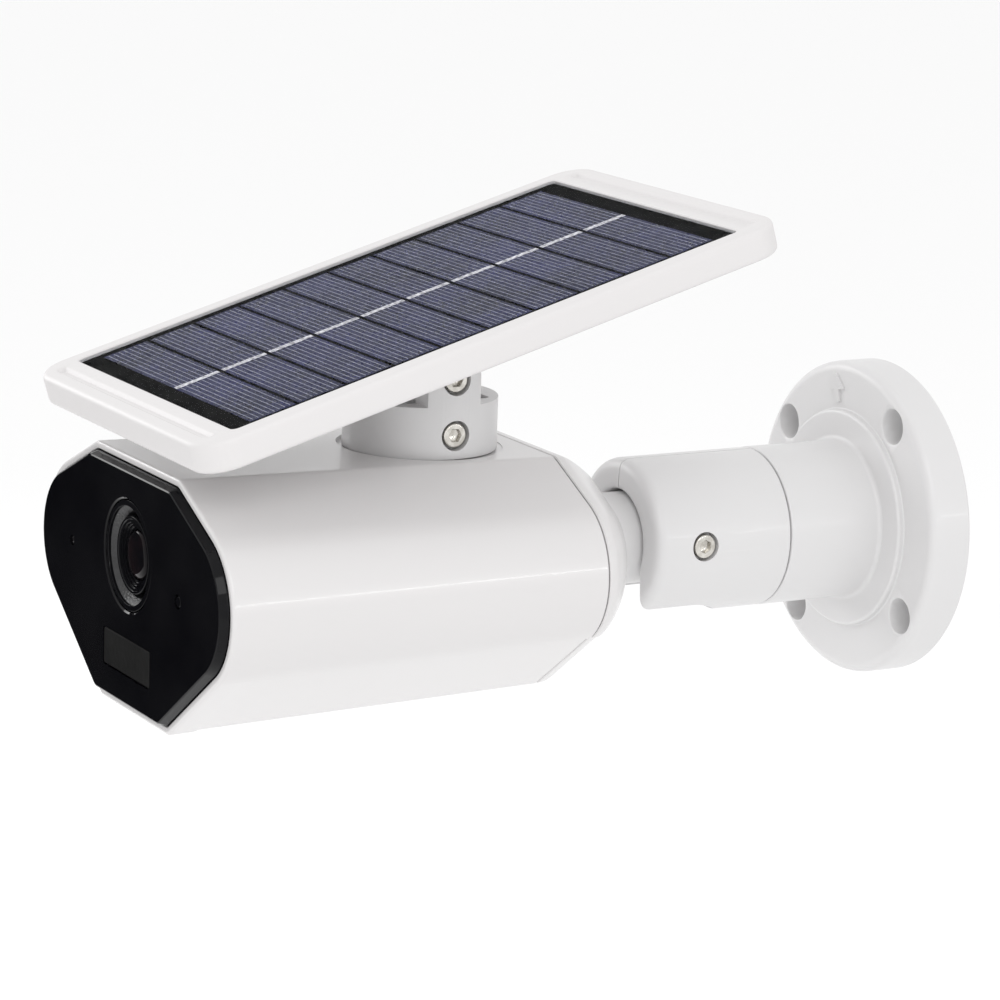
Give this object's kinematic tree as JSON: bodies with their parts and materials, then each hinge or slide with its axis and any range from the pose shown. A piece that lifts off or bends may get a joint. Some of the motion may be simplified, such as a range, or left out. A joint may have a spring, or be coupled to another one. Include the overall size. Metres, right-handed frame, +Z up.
{
  "type": "solar security camera",
  "caption": "Wall-mounted security camera with a tilting clamp arm and a solar panel on a turntable above its housing.",
  "frame": {"origin": "centre of the wall flange's back face", "axes": "+Y into the wall, +Z up, the camera looks along -Y"},
  "size_m": [0.0996, 0.1989, 0.1168],
  "materials": {
    "white_shell": "satin white",
    "white_arm": "satin white",
    "black_acrylic": "gloss black",
    "black_plastic": "matt black",
    "pir_film": "matt dark film",
    "lens_glass": "coated glass",
    "steel": "plated steel",
    "rubber": "matt",
    "silicone": "soft white",
    "circuit_board": "green board",
    "solar_cell": "dark blue cells",
    "clear_glass": "clear",
    "battery_wrap": "blue sleeve",
    "tin": "tinned steel"
  },
  "bodies": {
    "wall_base": {"wall_flange": "white_arm"},
    "arm": {"arm_shell_right": "white_arm", "arm_shell_left": "white_arm", "clamp_screw": "steel", "clamp_nut": "steel"},
    "knuckle": {"stem_knuckle": "white_arm", "stem_retainer": "steel", "retainer_screw": "steel"},
    "camera": {"rear_cap": "white_shell", "swivel_washer": "rubber", "housing": "white_shell", "front_plate": "black_acrylic", "front_gasket": "rubber", "front_chassis": "black_plastic", "lens_hood": "black_plastic", "lens_barrel": "black_plastic", "lens_front_element": "lens_glass", "lens_rear_element": "lens_glass", "lens_mount": "black_plastic", "sensor_board": "circuit_board", "image_sensor": "black_plastic", "pir_window": "pir_film", "pir_sensor": "tin", "pir_board": "circuit_board", "light_sensor": "lens_glass", "status_led": "clear_glass", "ir_led_left": "clear_glass", "ir_led_right": "clear_glass", "battery_tray": "black_plastic", "battery_cell_1": "battery_wrap", "battery_cell_2": "battery_wrap", "battery_cell_3": "battery_wrap", "main_board": "circuit_board", "board_screw_1": "steel", "board_screw_2": "steel", "board_screw_3": "steel", "board_screw_4": "steel", "wifi_module": "tin", "main_chip": "black_plastic", "port_plate": "black_plastic", "usb_socket": "tin", "card_slot": "tin", "reset_switch": "black_plastic", "power_switch_body": "black_plastic", "turntable_hub": "white_shell"},
    "hatch": {"service_hatch": "silicone"},
    "reset": {"reset_button": "silicone"},
    "switch": {"power_switch_knob": "silicone"},
    "turntable": {"turntable": "white_arm", "pivot_screw": "steel", "pivot_nut": "steel", "lock_screw": "steel", "turntable_seal": "rubber"},
    "panel": {"panel_frame": "white_shell", "panel_back": "white_shell", "solar_board": "solar_cell", "solar_glass": "clear_glass", "panel_diode_board": "circuit_board"}
  },
  "joints": [
    {"name": "arm_roll", "type": "hinge", "parent": "wall_base", "child": "arm", "pos_m": [0, 0, 0], "axis": [0, 1, 0], "continuous": true},
    {"name": "camera_tilt", "type": "hinge", "parent": "arm", "child": "knuckle", "pos_m": [0, -0.0603, 0.0008], "axis": [1, 0, 0], "range_deg": [0, 90]},
    {"name": "camera_roll", "type": "hinge", "parent": "knuckle", "child": "camera", "pos_m": [0, -0.085, 0], "axis": [0, 1, 0], "range_deg": [-45, 45]},
    {"name": "turntable_pan", "type": "hinge", "parent": "camera", "child": "turntable", "pos_m": [0, -0.1252, 0.0256], "axis": [0, 0, 1], "range_deg": [-175, 175]},
    {"name": "panel_tilt", "type": "hinge", "parent": "turntable", "child": "panel", "pos_m": [0, -0.1252, 0.0432], "axis": [1, 0, 0], "range_deg": [-36, 3]},
    {"name": "hatch_hinge", "type": "hinge", "parent": "camera", "child": "hatch", "pos_m": [0, -0.1389, -0.02797], "axis": [1, 0, 0], "range_deg": [0, 95]},
    {"name": "reset_press", "type": "slide", "parent": "camera", "child": "reset", "axis": [0, 0, 1], "range_m": [0, 0.0006], "stiffness_N_per_m": 400},
    {"name": "power_switch_slide", "type": "slide", "parent": "camera", "child": "switch", "axis": [1, 0, 0], "range_m": [0, 0.0028]}
  ]
}
